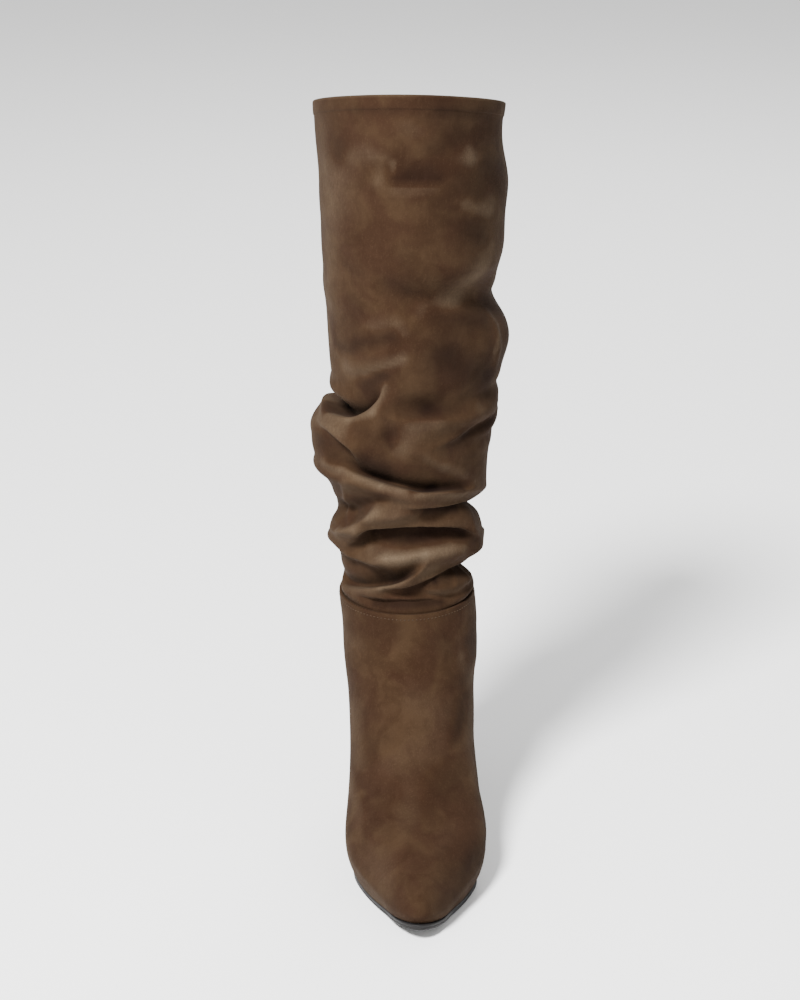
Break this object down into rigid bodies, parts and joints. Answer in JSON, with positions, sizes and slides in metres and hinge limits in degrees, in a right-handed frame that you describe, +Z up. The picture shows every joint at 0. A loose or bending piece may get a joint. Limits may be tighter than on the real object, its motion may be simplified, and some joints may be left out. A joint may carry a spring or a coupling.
{
  "type": "slouch boot",
  "caption": "Right knee-high slouch boot in suede: lasted foot part, slouched open shaft with a turned hem, thin outsole, insole and a covered block heel with its tip.",
  "frame": {"origin": "on the floor, under the middle of the boot's own box", "axes": "+Z up the shaft, -Y towards the toe, +X towards the inner side of the right foot"},
  "size_m": [0.1184, 0.2426, 0.467],
  "materials": {
    "suede": "napped brown suede",
    "sole": "satin black",
    "insole": "smooth tan",
    "heel_tip": "matt black"
  },
  "bodies": {
    "root": {"upper": "suede", "shaft": "suede", "outsole": "sole", "insole": "insole", "heel": "suede", "heel_tip": "heel_tip"}
  },
  "joints": []
}
